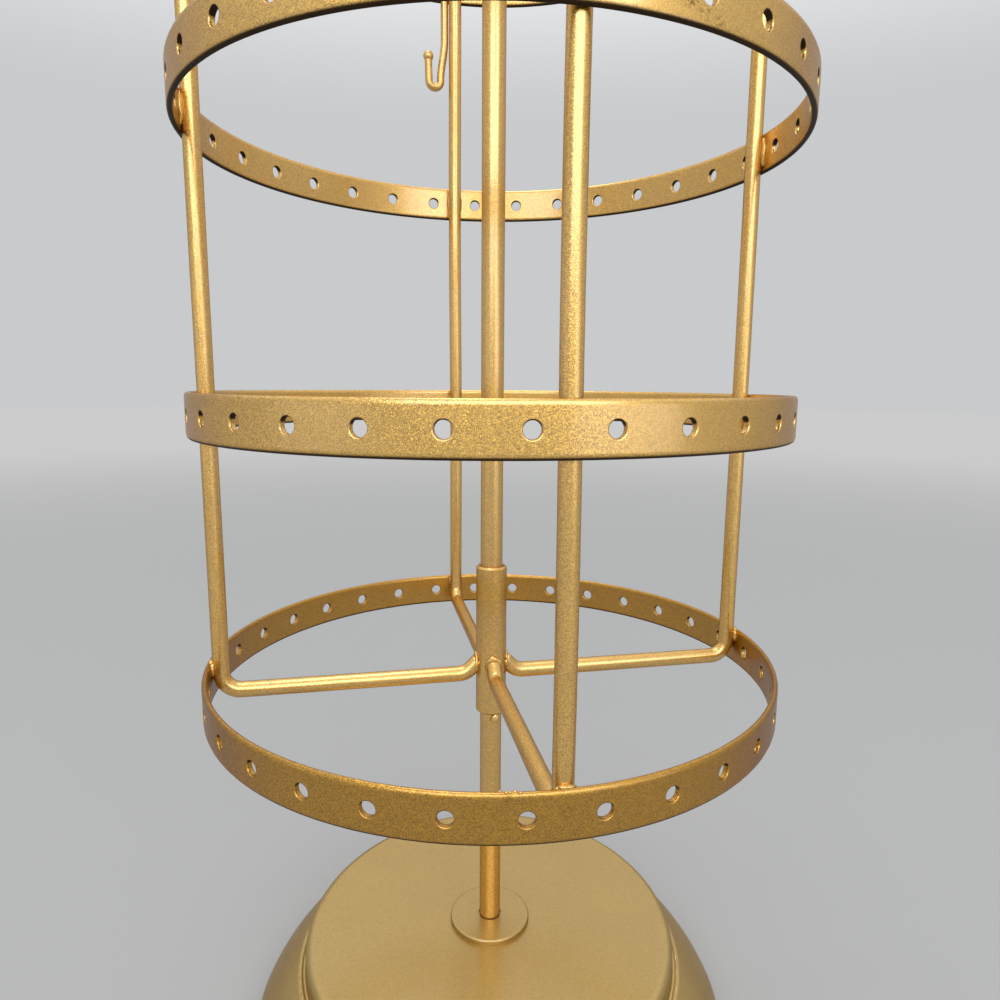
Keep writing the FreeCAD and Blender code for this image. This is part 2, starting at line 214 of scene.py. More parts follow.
IRON_TONE = (0.14, 0.135, 0.13)
IRON_METALLIC = 0.7
IRON_GRAIN_SCALE = 900.0
IRON_PIT_DEPTH = 0.2 * MM
ZINC_TONE = (0.6, 0.61, 0.64)
ZINC_CRYSTAL_SCALE = 1100.0
PRIMER_TONE = (0.05, 0.048, 0.045)
PRIMER_SPECK_SCALE = 1600.0
PRIMER_SPECK_DEPTH = 0.03 * MM
FOAM_TONE = (0.035, 0.035, 0.036)
FOAM_ROUGHNESS = 0.92
FOAM_CELL_SCALE = 1400.0
FOAM_CELL_DEPTH = 0.1 * MM


def cast_iron():
    """Dark grey iron, pitted by the sand that it was cast in."""
    iron = Finish("cast_iron")
    grain = iron.node("TexNoise", Vector=iron.place, Scale=IRON_GRAIN_SCALE, Detail=5.0).outputs["Fac"]
    pits = iron.node("Bump", Height=grain, Distance=IRON_PIT_DEPTH)
    iron.feed(iron.shader, "Base Color", iron.scaled(IRON_TONE, iron.spread(grain, low=0.6, high=1.4)))
    iron.feed(iron.shader, "Roughness", iron.spread(grain, low=0.65, high=0.85))
    iron.feed(iron.shader, "Normal", pits.outputs["Normal"])
    iron.feed(iron.shader, "Metallic", IRON_METALLIC)
    return iron


def zinc_plate():
    """Bright zinc with faint cloudy crystals."""
    zinc = Finish("zinc_plate")
    crystal = zinc.node("TexVoronoi", Vector=zinc.place, Scale=ZINC_CRYSTAL_SCALE)
    tone = zinc.node("SeparateColor", Color=crystal.outputs["Color"]).outputs["Green"]
    zinc.feed(zinc.shader, "Base Color", zinc.scaled(ZINC_TONE, zinc.spread(tone, low=0.85, high=1.1)))
    zinc.feed(zinc.shader, "Roughness", zinc.spread(tone, low=0.28, high=0.42))
    zinc.feed(zinc.shader, "Metallic", 1.0)
    return zinc


def black_primer():
    """Thin matt black primer on rolled sheet."""
    primer = Finish("black_primer")
    noise = primer.node("TexNoise", Vector=primer.place, Scale=PRIMER_SPECK_SCALE, Detail=3.0)
    speck = noise.outputs["Fac"]
    specks = primer.node("Bump", Height=speck, Distance=PRIMER_SPECK_DEPTH)
    primer.feed(primer.shader, "Base Color",
                primer.scaled(PRIMER_TONE, primer.spread(speck, low=0.7, high=1.3)))
    primer.feed(primer.shader, "Roughness", primer.spread(speck, low=0.5, high=0.65))
    primer.feed(primer.shader, "Normal", specks.outputs["Normal"])
    return primer


def foam_rubber():
    """Closed-cell foam: dark and matt, with small round cells."""
    foam = Finish("foam_rubber")
    cells = foam.node("TexVoronoi", Vector=foam.place, Scale=FOAM_CELL_SCALE).outputs["Distance"]
    hollows = foam.node("Bump", Height=cells, Distance=FOAM_CELL_DEPTH)
    foam.feed(foam.shader, "Base Color", foam.scaled(FOAM_TONE, foam.spread(cells, low=0.6, high=1.5)))
    foam.feed(foam.shader, "Roughness", FOAM_ROUGHNESS)
    foam.feed(foam.shader, "Normal", hollows.outputs["Normal"])
    return foam


finish_node("base_ballast", cast_iron())
finish_node("base_plate", black_primer())
finish_node("base_pad", foam_rubber())
zinc_plating = zinc_plate()
finish_node("nut_washer", zinc_plating)
finish_node("base_nut", zinc_plating)


# ---------------------------------------------------------------- Foot washer
# A wide turned steel washer, painted as the base is. The post's foot sits in it, and the nut
# underneath draws both down on the disc.

finish_node("foot_washer", base_paint)


# ---------------------------------------------------------------- Post and stop pin
# The post is a straight drawn rod that stays still while the carousel turns. A short cross
# pin, driven through it below the lower hub, carries the carousel. Both are painted gold.

POST_DARK = (0.46, 0.245, 0.022, 1.0)
POST_LIGHT = (0.88, 0.515, 0.07, 1.0)
POST_FLAKE = 0.16 * MM
POST_ROUGHNESS = 0.34
POST_COAT_IOR = 3.25
POST_SPARKLE = 0.1

post_paint = flake_paint("post_gold_paint", POST_DARK, POST_LIGHT, POST_FLAKE, POST_ROUGHNESS,
                         POST_COAT_IOR, POST_SPARKLE)
finish_node("post", post_paint)
finish_node("stop_pin", post_paint)


# ---------------------------------------------------------------- Perforated rings
# Four flat steel strips, each rolled into a ring and butt welded, with 32 punched holes for ear
# wires, rounded edges and a soft lip round each hole. Their gold paint sparkles more than the
# base's, and worn places show the dark undercoat. Faces that look down are painted near-black
# as painted shade, and the lowest ring's paint is a darker, browner copy: a painted dark reflection.

RING_COUNT = 4
HOLES_PER_RING = 32
STRIP_THICKNESS = 1.4 * MM
EDGE_ROUND = 0.66 * MM
EDGE_RISE = 1.15 * MM
HOLE_RADIUS = 1.6 * MM
LIP_ROUND = 0.32 * MM
ROUNDING_MARGIN = 0.05 * MM
FRONT_WIRE_AZIMUTH = math.radians(-79.3)
RING_DIP = 0.04 * MM
RING_LIFT = 0.06 * MM

STEPS_ALONG = 10
STEPS_ACROSS = 6
LIP_STEPS = 3
EDGE_STEPS = 6
FACE_SHARES = (0.4, 1.0)
MERGE_REACH = 0.002 * MM
SLIVER_REACH = 0.001 * MM

FRAME_DARK = (0.42, 0.215, 0.02, 1.0)
FRAME_LIGHT = (0.92, 0.55, 0.085, 1.0)
FRAME_FLAKE = 0.15 * MM
# A darker, browner copy of the frame's paint for the lowest ring: a painted dark reflection.
SHADED_LOW_RING_DARK = (0.28, 0.12, 0.004, 1.0)
SHADED_LOW_RING_LIGHT = (0.62, 0.335, 0.016, 1.0)
RING_ROUGHNESS = 0.33
RING_SPARKLE = 0.22
RING_COAT_IOR = 2.8
LOW_RING_COAT_IOR = 2.0

# A near-black matt tone: the bare undercoat in worn places, and painted shade on the strips' faces that
# look down.
UNDERCOAT_AND_SHADE_TONE = (0.02, 0.011, 0.005, 1.0)
UNDERCOAT_AND_SHADE_DULLING = 0.3

# The upward part of a face's normal at which the painted shade starts, and at which it is full.
PAINTED_SHADE_START = -0.1
PAINTED_SHADE_FULL = -0.5

# The crumbled edge of a worn place, and the share of its radius within which it is barest.
CRUMB_SCALE = 1500.0
CRUMB_START = 0.42
CRUMB_END = 0.56
MARK_CORE = 0.2

# Each worn place: azimuth in degrees, height over the strip's middle, radius, and how bare it is.
WORN_PLACES = {
    1: [(-79.4, 1.0 * MM, 2.2 * MM, 0.55), (-87.7, 4.3 * MM, 1.3 * MM, 0.5),
        (-131.8, -4.6 * MM, 1.2 * MM, 0.6), (-110.3, -4.4 * MM, 1.0 * MM, 0.6),
        (-45.7, 3.2 * MM, 1.0 * MM, 0.5)],
    3: [(-65.5, -1.2 * MM, 2.6 * MM, 0.75), (-63.2, -2.8 * MM, 2.2 * MM, 0.6),
        (-60.8, -3.8 * MM, 1.8 * MM, 0.55)],
}


def ring_place(tier):
    """One ring's outer radius, and the heights of its lower and its upper edge."""
    low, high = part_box("ring_" + str(tier))
    return (high.x - low.x) / 2, low.z, high.z


def marks_on(tier):
    """A ring's worn places, each as its centre on the outer face, its radius and how bare it is."""
    outer, low, high = ring_place(tier)
    for azimuth, height, radius, bareness in WORN_PLACES[tier]:
        turn = math.radians(azimuth)
        yield (outer * math.cos(turn), outer * math.sin(turn), (low + high) / 2 + height), radius, bareness


def undercoat_and_shade_share(paint, marks):
    """How far the dark matt tone shows, from 0 to 1.

    On faces that look down it is painted shade, full where they look steeply down. In each mark it
    is the bare undercoat: by the mark's bareness at its centre, fading to nothing at its radius,
    with a crumbled edge.
    """
    facing = paint.node("SeparateXYZ", Vector=paint.node("NewGeometry").outputs["Normal"])
    # Painted shade: the further a face looks down, the more of the dark tone it gets.
    bare_and_shade = paint.rise(facing.outputs["Z"], PAINTED_SHADE_START, PAINTED_SHADE_FULL)
    crumb = paint.node("TexNoise", Vector=paint.place, Scale=CRUMB_SCALE, Detail=4.0).outputs["Fac"]
    crumbled = paint.node("MapRange", Value=crumb, From_Min=CRUMB_START, From_Max=CRUMB_END)
    for centre, radius, bareness in marks:
        away = paint.vector("DISTANCE", paint.place, centre).outputs["Value"]
        worn = paint.number("MULTIPLY", paint.rise(away, radius, MARK_CORE * radius),
                            crumbled.outputs["Result"])
        bare_and_shade = paint.number("MAXIMUM", bare_and_shade, paint.number("MULTIPLY", worn, bareness))
    return bare_and_shade


def strip_paint(name, dark, light, coat_ior, marks):
    """The rings' flake paint, which gives way to a near-black matt tone by its share: bare undercoat in
    worn places, painted shade on faces that look down.
    """
    paint = flake_paint(name, dark, light, FRAME_FLAKE, RING_ROUGHNESS, coat_ior, RING_SPARKLE)
    bare_and_shade = undercoat_and_shade_share(paint, marks)
    dulling = paint.number("MULTIPLY", bare_and_shade, UNDERCOAT_AND_SHADE_DULLING)
    # The dark tone is painted shade on downward faces and bare undercoat in worn places.
    paint.feed(paint.shader, "Base Color", paint.mixed(bare_and_shade, paint.feeding("Base Color"), UNDERCOAT_AND_SHADE_TONE))
    paint.feed(paint.shader, "Roughness", paint.number("ADD", paint.feeding("Roughness"), dulling))
    paint.feed(paint.shader, "Metallic", paint.spread(bare_and_shade, PAINT_METALLIC, 0.0))
    paint.feed(paint.shader, "Coat Weight", paint.spread(bare_and_shade, COAT_WEIGHT, 0.0))
    return paint


def carousel_piece(name, patches, finish, replaced=None):
    """One closed piece that turns with the carousel, from patches of rows by columns of points.

    Neighbouring points of a patch make its four-sided faces. Points of different patches that
    fall together are merged, so that seams and poles are closed, and the normals face out.
    """
    corners = []
    faces = []
    start = 0
    for patch in patches:
        rows, columns = patch.shape[:2]
        number = start + np.arange(rows * columns).reshape(rows, columns)
        quads = np.stack([number[:-1, :-1], number[:-1, 1:], number[1:, 1:], number[1:, :-1]], axis=-1)
        corners.append(patch.reshape(-1, 3))
        faces.append(quads.reshape(-1, 4))
        start += rows * columns
    mesh = bpy.data.meshes.new(name)
    mesh.from_pydata(np.concatenate(corners).tolist(), [], np.concatenate(faces).tolist())
    work = bmesh.new()
    work.from_mesh(mesh)
    bmesh.ops.remove_doubles(work, verts=work.verts, dist=MERGE_REACH)
    bmesh.ops.dissolve_degenerate(work, edges=work.edges, dist=SLIVER_REACH)
    bmesh.ops.recalc_face_normals(work, faces=work.faces)
    work.to_mesh(mesh)
    work.free()
    mesh.polygons.foreach_set("use_smooth", np.ones(len(mesh.polygons), bool))
    mesh.materials.append(finish.material)
    piece = bpy.data.objects.new(name, mesh)
    bpy.context.scene.collection.objects.link(piece)
    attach(piece, "carousel")
    if replaced:
        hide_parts(replaced)


def strip_cell(half_height, half_width):
    """The patches of one hole's share of the strip, unrolled, as along, depth, up.

    Along is the distance round the strip, up the height over its middle and depth how far a
    point lies under the outer face. Round the hole, points start on a circle and go out to the
    cell's rectangle. The first rings of points follow the lip, a quarter circle from the hole's
    wall to the face, and the rest stand at the face's shares of the way out. The strip's two
    edges are a profile of two quarter ellipses, carried along the same points as the rectangle's
    long sides. A narrow flat margin lies beside each rounding.
    """
    flat_height = half_height - EDGE_RISE - ROUNDING_MARGIN
    corner = math.atan2(flat_height, half_width)
    over_top = np.linspace(corner, math.pi - corner, STEPS_ALONG + 1)
    over_side = np.linspace(math.pi - corner, math.pi + corner, STEPS_ACROSS + 1)
    half_turn = np.concatenate([over_top[:-1], over_side[:-1]])
    turns = np.concatenate([half_turn, half_turn + math.pi, [corner + 2 * math.pi]])
    reach = np.minimum(half_width / np.abs(np.cos(turns)), flat_height / np.abs(np.sin(turns)))
    lip_turn = np.radians(np.linspace(0.0, 90.0, LIP_STEPS + 1))
    lip_end = HOLE_RADIUS + LIP_ROUND + ROUNDING_MARGIN
    lip_radii = np.append(HOLE_RADIUS + LIP_ROUND * (1 - np.cos(lip_turn)), lip_end)
    lip_depths = np.append(LIP_ROUND * (1 - np.sin(lip_turn)), 0.0)
    shares = np.array(FACE_SHARES)[:, None]
    distance = np.concatenate([np.repeat(lip_radii[:, None], len(turns), axis=1),
                               lip_end + shares * (reach - lip_end)])
    depth = np.concatenate([lip_depths, np.zeros(len(shares))])[:, None] * np.ones(len(turns))
    along = distance * np.cos(turns)
    up = distance * np.sin(turns)
    face = np.stack([along, depth, up], axis=-1)
    back = np.stack([along, STRIP_THICKNESS - depth, up], axis=-1)
    wall = np.stack([face[0], back[0]])
    quarter = np.radians(np.linspace(0.0, 90.0, EDGE_STEPS + 1))
    edge_depth = np.concatenate([[0.0], EDGE_ROUND * (1 - np.cos(quarter))])
    edge_up = np.concatenate([[flat_height], half_height - EDGE_RISE * (1 - np.sin(quarter))])
    edge_depth = np.concatenate([edge_depth, STRIP_THICKNESS - edge_depth[::-1]])
    edge_up = np.concatenate([edge_up, edge_up[::-1]])
    top_along = flat_height / np.tan(over_top)
    top_along[0] = half_width
    top_along[-1] = -half_width
    top = np.stack(np.broadcast_arrays(top_along, edge_depth[:, None], edge_up[:, None]), axis=-1)
    foot = top * np.array([1.0, 1.0, -1.0])
    return [face, back, wall, top, foot]


def perforated_ring(tier, paint):
    """A strip bent to a circle: along becomes the angle round the post, depth shortens the radius.

    The hand-made ring is out of round and out of flat by a few hundredths of a millimetre, as
    two slow waves round the circle.
    """
    name = "ring_" + str(tier)
    outer, low, high = ring_place(tier)
    spacing = 2 * math.pi / HOLES_PER_RING
    mid_radius = outer - STRIP_THICKNESS / 2
    cell = strip_cell((high - low) / 2, mid_radius * spacing / 2)
    patches = []
    for hole in range(HOLES_PER_RING):
        centre = FRONT_WIRE_AZIMUTH + (hole + 0.5) * spacing
        for patch in cell:
            along, depth, up = np.moveaxis(patch, -1, 0)
            angle = centre + along / mid_radius
            radius = outer - depth - RING_DIP * (1 + np.sin(2 * angle + tier))
            height = (low + high) / 2 + up + RING_LIFT * np.sin(3 * angle + 2 * tier)
            patches.append(np.stack([radius * np.cos(angle), radius * np.sin(angle), height], axis=-1))
    carousel_piece("perforated_" + name, patches, paint, replaced=name)


ring_paint = strip_paint("ring_gold_paint", FRAME_DARK, FRAME_LIGHT, RING_COAT_IOR, marks_on(3))
# The lowest ring takes the darker copy of the paint, as a painted dark reflection.
shaded_low_ring_paint = strip_paint("shaded_low_ring_gold_paint", SHADED_LOW_RING_DARK, SHADED_LOW_RING_LIGHT, LOW_RING_COAT_IOR,
                             marks_on(1))
for tier in range(1, RING_COUNT + 1):
    perforated_ring(tier, shaded_low_ring_paint if tier == 1 else ring_paint)


# ---------------------------------------------------------------- Uprights
# Four drawn steel wires, each bent in one piece: a rod inside the rings, and at both ends a
# tight elbow, a spoke and a short upturned toe that meets the hub. They are cut, bent in a
# jig and welded to the strips, so they keep small waves from handling.

WIRE_SIDES = ["front", "right", "back", "left"]
WIRE_RADIUS = 2.1 * MM
ELBOW_RADIUS = 5.0 * MM
TOE_RADIUS = 5.0 * MM
TOE_ANGLE = 45.0
TOE_REACH = 5.0 * MM
TOE_BITE = 0.6 * MM
HUB_RADIUS = 4.2 * MM
SADDLE_DEPTH = 0.5 * MM
WIRE_SWAY = 0.12 * MM
WIRE_WOBBLE = 0.006

WIRE_ROUND_STEPS = 24
WIRE_STEP = 1.2 * MM
TOE_STEP = 0.6 * MM
TOE_ARC_STEPS = 8
ELBOW_ARC_STEPS = 14

WIRE_ROUGHNESS = 0.34
WIRE_COAT_IOR = 2.9
WIRE_SPARKLE = 0.16

# Each wave of a drawn wire's skin: how far along it one radian of the wave goes, and its lobes round.
SKIN_WAVES = ((2.1 * MM, 2), (4.7 * MM, -1), (1.3 * MM, 3))

ring_outer, lowest_edge, _ = ring_place(1)
_, _, highest_edge = ring_place(RING_COUNT)
strip_inside = ring_outer - STRIP_THICKNESS
upright_radius = strip_inside - WIRE_RADIUS
lower_spoke = lowest_edge + WIRE_RADIUS
upper_spoke = highest_edge - WIRE_RADIUS


def wire_azimuth(number):
    """The azimuth of one of the four wires, counted in quarter turns from the front one."""
    return FRONT_WIRE_AZIMUTH + number * math.pi / 2


def turned(outward, sideways, height, azimuth):
    """Points given by their way outward, sideways and up, turned to an azimuth round the post."""
    return np.stack(np.broadcast_arrays(outward * math.cos(azimuth) - sideways * math.sin(azimuth),
                                        outward * math.sin(azimuth) + sideways * math.cos(azimuth),
                                        height), axis=-1)


def run(start, end, step):
    """Evenly spaced points of a straight run, without its last one."""
    length = np.linalg.norm(np.subtract(end, start))
    share = np.linspace(0.0, 1.0, max(2, int(length / step)), endpoint=False)[:, None]
    return np.asarray(start) + share * np.subtract(end, start)


def bend(centre, radius, start_angle, end_angle, count):
    """Points of an arc in the section plane: the centre plus the radius turned by each angle."""
    angle = np.radians(np.linspace(start_angle, end_angle, count, endpoint=False))
    return np.stack([centre[0] + radius * np.cos(angle), centre[1] + radius * np.sin(angle)], axis=-1)


def wire_line():
    """The upright's centre line as distance from the axis and height, from lower to upper toe.

    It comes down the toe, turns by the toe's arc into the spoke, and by the elbow into the rod.
    The upper half is the lower one mirrored at the rod's middle.
    """
    slope = math.radians(TOE_ANGLE)
    toe_start = HUB_RADIUS + TOE_REACH
    arc_height = lower_spoke + TOE_RADIUS
    toe_end = (toe_start - TOE_RADIUS * math.sin(slope), arc_height - TOE_RADIUS * math.cos(slope))
    tip_reach = HUB_RADIUS - TOE_BITE
    tip = (tip_reach, toe_end[1] + (toe_end[0] - tip_reach) * math.tan(slope))
    elbow = upright_radius - ELBOW_RADIUS
    middle = (lower_spoke + upper_spoke) / 2
    half = np.concatenate([
        run(tip, toe_end, TOE_STEP),
        bend((toe_start, arc_height), TOE_RADIUS, 270 - TOE_ANGLE, 270, TOE_ARC_STEPS),
        run((toe_start, lower_spoke), (elbow, lower_spoke), WIRE_STEP),
        bend((elbow, lower_spoke + ELBOW_RADIUS), ELBOW_RADIUS, -90, 0, ELBOW_ARC_STEPS),
        run((upright_radius, lower_spoke + ELBOW_RADIUS), (upright_radius, middle), WIRE_STEP),
    ])
    mirrored = half[::-1] * np.array([1.0, -1.0]) + np.array([0.0, 2 * middle])
    return np.concatenate([half, [[upright_radius, middle]], mirrored])


def swept(path, flat, radius, round_steps, wobble, seed):
    """A round section carried along a path that lies in a plane, closed at both ends.

    At each point the section stands square to the path: one of its axes is the path's heading
    crossed with the direction square to the plane, and the other is square to both. The radius
    swells and shrinks by the wobble as the mean of the slow skin waves along and round the wire.
    """
    heading = np.gradient(path, axis=0)
    heading /= np.linalg.norm(heading, axis=1)[:, None]
    side = np.cross(heading, flat)
    side /= np.linalg.norm(side, axis=1)[:, None]
    other = np.cross(heading, side)
    travelled = np.concatenate([[0.0], np.cumsum(np.linalg.norm(np.diff(path, axis=0), axis=1))])
    around = np.linspace(0.0, 2 * math.pi, round_steps + 1)
    waves = [np.sin(travelled[:, None] / length + lobes * around + order * seed)
             for order, (length, lobes) in enumerate(SKIN_WAVES, start=1)]
    size = radius * (1 + wobble * np.mean(waves, axis=0))
    skin = (path[:, None, :] + size[..., None] * (np.cos(around)[None, :, None] * side[:, None, :]
                                                  + np.sin(around)[None, :, None] * other[:, None, :]))
    skin[:, -1] = skin[:, 0]
    caps = [np.stack([np.repeat(path[end][None], round_steps + 1, axis=0), skin[end]]) for end in (0, -1)]
    return [skin, *caps]


def saddled(skin):
    """Each point nearer the axis than the middle of the hub's wall, moved straight out to it."""
    reach = np.hypot(skin[..., 0], skin[..., 1])
    growth = np.maximum(1.0, (HUB_RADIUS - SADDLE_DEPTH) / reach)
    return skin * np.stack([growth, growth, np.ones_like(growth)], axis=-1)


def upright(side, number):
    """One upright: its centre line, with a slow sideways wave, turned to its azimuth."""
    azimuth = wire_azimuth(number)
    reach, height = wire_line().T
    height_share = (height - lower_spoke) / (upper_spoke - lower_spoke)
    sway = WIRE_SWAY * np.sin(3 * math.pi * np.clip(height_share, 0, 1) + number)
    path = turned(reach, sway * (reach / upright_radius), height, azimuth)
    flat = (-math.sin(azimuth), math.cos(azimuth), 0.0)
    skin = swept(path, flat, WIRE_RADIUS, WIRE_ROUND_STEPS, WIRE_WOBBLE, number)
    name = "upright_" + side
    carousel_piece("bent_" + name, [saddled(patch) for patch in skin], frame_paint, replaced=name)


frame_paint = flake_paint("wire_gold_paint", FRAME_DARK, FRAME_LIGHT, FRAME_FLAKE, WIRE_ROUGHNESS,
                          WIRE_COAT_IOR, WIRE_SPARKLE)
for number, side in enumerate(WIRE_SIDES):
    upright(side, number)


# ---------------------------------------------------------------- Hub sleeves
# Two short lengths of steel tube that turn on the post, chamfered at both ends. The spokes'
# toes are welded to them, and they are painted with the frame.

finish_node("lower_hub", frame_paint)
finish_node("upper_hub", frame_paint)


# ---------------------------------------------------------------- Welds
# Every wire is welded to the strips and every toe to its hub. The welds are low, lumpy beads
# of steel, dressed only a little and then painted over, so they look rough under the gold.

BEAD_ROUND_STEPS = 14
BEAD_ALONG_STEPS = 12
BEAD_LUMPS = 0.09
BEAD_PROUD = 0.1 * MM

# A bead's sizes are half its extent outwards, sideways and upwards. The spatter's offsets are in
# degrees from the front wire.
STRIP_BEAD = (0.75 * MM, 1.0 * MM, 3.6 * MM)
SHORT_STRIP_BEAD = (0.75 * MM, 1.0 * MM, 1.7 * MM)
STRIP_BEAD_INSET = 0.25 * MM
STRIP_BEAD_ASIDE = 1.55 * MM
SHORT_BEAD_SHIFT = 3.4 * MM
EDGE_BEAD = (0.8 * MM, 1.5 * MM, 0.45 * MM)
TOE_BEAD = (0.8 * MM, 2.3 * MM, 3.1 * MM)
SPATTER_DROP = (0.3 * MM, 0.36 * MM, 0.2 * MM)
SPATTER_SCATTER = 0.3 * MM
SPATTER_OFFSETS = (-6.6, -7.3, -8.0, -8.5, -9.4)

WELD_ROUGHNESS = 0.42
WELD_COAT_IOR = 2.8
WELD_SPARKLE = 0.2
WELD_RELIEF = 0.06 * MM

toe_slope = math.radians(TOE_ANGLE)
toe_rise = (TOE_RADIUS * (1 - math.cos(toe_slope))
            + (TOE_REACH - TOE_RADIUS * math.sin(toe_slope)) * math.tan(toe_slope))


def bead(azimuth, reach, height, sizes, seed, lumps=BEAD_LUMPS):
    """A lump of weld metal: a ball stretched to its sizes outwards, sideways and upwards.

    Each point of the ball lies at the ball's radius times one plus three crossed waves, which
    makes the lumps. The seed shifts the waves, so that no two beads are alike. The bead stands
    at its azimuth, its reach from the post's axis and its height.
    """
    polar = np.linspace(0.0, math.pi, BEAD_ALONG_STEPS + 1)[:, None]
    around = np.linspace(0.0, 2 * math.pi, BEAD_ROUND_STEPS + 1)[None, :]
    swell = 1 + lumps * (np.sin(3 * polar + seed) * np.cos(2 * around + seed)
                         + np.sin(5 * polar + 2 * seed) * np.sin(around - seed)
                         + np.sin(7 * polar) * np.cos(3 * around + 3 * seed))
    skin = turned(reach + sizes[0] * swell * np.sin(polar) * np.cos(around),
                  sizes[1] * swell * np.sin(polar) * np.sin(around),
                  height + sizes[2] * swell * np.cos(polar), azimuth)
    skin[:, -1] = skin[:, 0]
    skin[0] = skin[0, 0]
    skin[-1] = skin[-1, 0]
    return skin


def ring_weld_beads():
    """A bead in the corner on each side of each wire, at each ring.

    At the lowest and the top ring these are short, since the elbow bends away from the strip
    there, and one more bead lies on the strip's edge, outward of the rod.
    """
    beads = []
    for number in range(len(WIRE_SIDES)):
        azimuth = wire_azimuth(number)
        for tier in range(1, RING_COUNT + 1):
            _, low, high = ring_place(tier)
            shift = {1: SHORT_BEAD_SHIFT, RING_COUNT: -SHORT_BEAD_SHIFT}.get(tier, 0.0)
            sizes = SHORT_STRIP_BEAD if shift else STRIP_BEAD
            for side in (-1, 1):
                seed = 1.7 * number + 0.9 * tier + 0.5 * side
                beads.append(bead(azimuth + side * STRIP_BEAD_ASIDE / strip_inside,
                                  strip_inside - STRIP_BEAD_INSET, (low + high) / 2 + shift, sizes, seed))
            if shift:
                edge = high if tier == 1 else low
                beads.append(bead(azimuth, strip_inside + BEAD_PROUD, edge, EDGE_BEAD, 2.0 * number))
    return beads


def weld_spatter():
    """Drops of steel thrown on the lowest strip's upper edge, a few degrees beside the front wire."""
    outer, _, edge = ring_place(1)
    drops = []
    for number, offset in enumerate(SPATTER_OFFSETS):
        reach = outer - STRIP_THICKNESS / 2 + SPATTER_SCATTER * math.cos(2.4 * number)
        drops.append(bead(wire_azimuth(0) + math.radians(offset), reach, edge, SPATTER_DROP, 1.3 * number))
    return drops


def hub_weld_beads():
    """A bead round each toe's tip, low against the hub."""
    beads = []
    for number in range(len(WIRE_SIDES)):
        for spoke, way in ((lower_spoke, 1), (upper_spoke, -1)):
            beads.append(bead(wire_azimuth(number), HUB_RADIUS + BEAD_PROUD, spoke + way * toe_rise,
                              TOE_BEAD, number + way))
    return beads


weld_paint = flake_paint("weld_gold_paint", FRAME_DARK, FRAME_LIGHT, FRAME_FLAKE, WELD_ROUGHNESS,
                         WELD_COAT_IOR, WELD_SPARKLE, WELD_RELIEF)
carousel_piece("ring_welds", ring_weld_beads() + weld_spatter(), weld_paint)
carousel_piece("hub_welds", hub_weld_beads(), weld_paint)


# ---------------------------------------------------------------- Necklace hooks
# Thin wire beside each upright on the top ring, bent by hand into a narrow J that leans away
# from the rod, with a ball melted on the tip so that a chain doesn't slip off.

HOOK_RADIUS = 1.25 * MM
HOOK_BEND = 1.95 * MM
HOOK_LEAN = 1.4 * MM
LEAN_HEIGHT = 13.0 * MM
TIP_RISE = 7.9 * MM
TIP_SPLAY = 0.2 * MM
BALL_RADIUS = 1.7 * MM
BALL_SEAT = 0.4
BALL_LUMPS = 0.02
HOOK_WOBBLE = 0.015

HOOK_ROUND_STEPS = 16
STEM_STEPS = 46
HOOK_ARC_STEPS = 14
TIP_STEP = 0.8 * MM


def necklace_hook(side, number):
    """One hook: a stem, half a turn and a tip, in the plane along the ring's inside.

    The stem goes straight down and then leans sideways, by the lean times the smooth step of how
    far it has come down over the lean's height.
    """
    name = "hook_" + side
    low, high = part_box(name)
    azimuth = wire_azimuth(number)
    reach = strip_inside - HOOK_RADIUS
    stem_aside = WIRE_RADIUS + HOOK_RADIUS
    tip_aside = stem_aside + HOOK_LEAN + 2 * HOOK_BEND
    bend_height = low.z + HOOK_RADIUS + HOOK_BEND
    stem_height = np.linspace(high.z, bend_height, STEM_STEPS, endpoint=False)
    share = np.clip((bend_height + LEAN_HEIGHT - stem_height) / LEAN_HEIGHT, 0, 1)
    aside, height = np.concatenate([
        np.stack([stem_aside + HOOK_LEAN * share ** 2 * (3 - 2 * share), stem_height], axis=-1),
        bend((tip_aside - HOOK_BEND, bend_height), HOOK_BEND, 180, 360, HOOK_ARC_STEPS),
        run((tip_aside, bend_height), (tip_aside + TIP_SPLAY, bend_height + TIP_RISE), TIP_STEP),
    ]).T
    outward = (math.cos(azimuth), math.sin(azimuth), 0.0)
    wire = swept(turned(reach, aside, height, azimuth), outward, HOOK_RADIUS, HOOK_ROUND_STEPS, HOOK_WOBBLE,
                 number)
    ball = bead(azimuth + math.atan2(aside[-1], reach), math.hypot(reach, aside[-1]),
                height[-1] + BALL_SEAT * BALL_RADIUS, (BALL_RADIUS, BALL_RADIUS, BALL_RADIUS), 0.7 * number,
                BALL_LUMPS)
    carousel_piece("bent_" + name, [*wire, ball], frame_paint, replaced=name)


for number, side in enumerate(WIRE_SIDES):
    necklace_hook(side, number)


# ---------------------------------------------------------------- Top washer and finial
# A small washer on the post's upper shoulder keeps the carousel from lifting off, and a ball
# nut, turned from steel bar with a collar and neck, screws down on it.

finish_node("top_washer", post_paint)
finish_node("finial", post_paint)


# ---------------------------------------------------------------- Floor and light
# A plain pale floor in a pale room, under soft studio light: a lamp overhead, a wide one in
# front and a weak one at each side.

FLOOR_RADIUS = 6.0
FLOOR_TONE = 0.34
FLOOR_ROUGHNESS = 0.9
FLOOR_SPECULAR = 0.1
RIM_STEPS = 96
FADE_START = 0.05
FADE_END = 2.2
BACKDROP_TONE = 0.6
SKY_TINT = (0.97, 0.985, 1.0, 1.0)
SKY_HIGH = 1.1
SKY_RISE_START = 0.3
SKY_RISE_END = 0.62
STAND_MIDDLE = Vector((0.0, 0.0, 0.17))


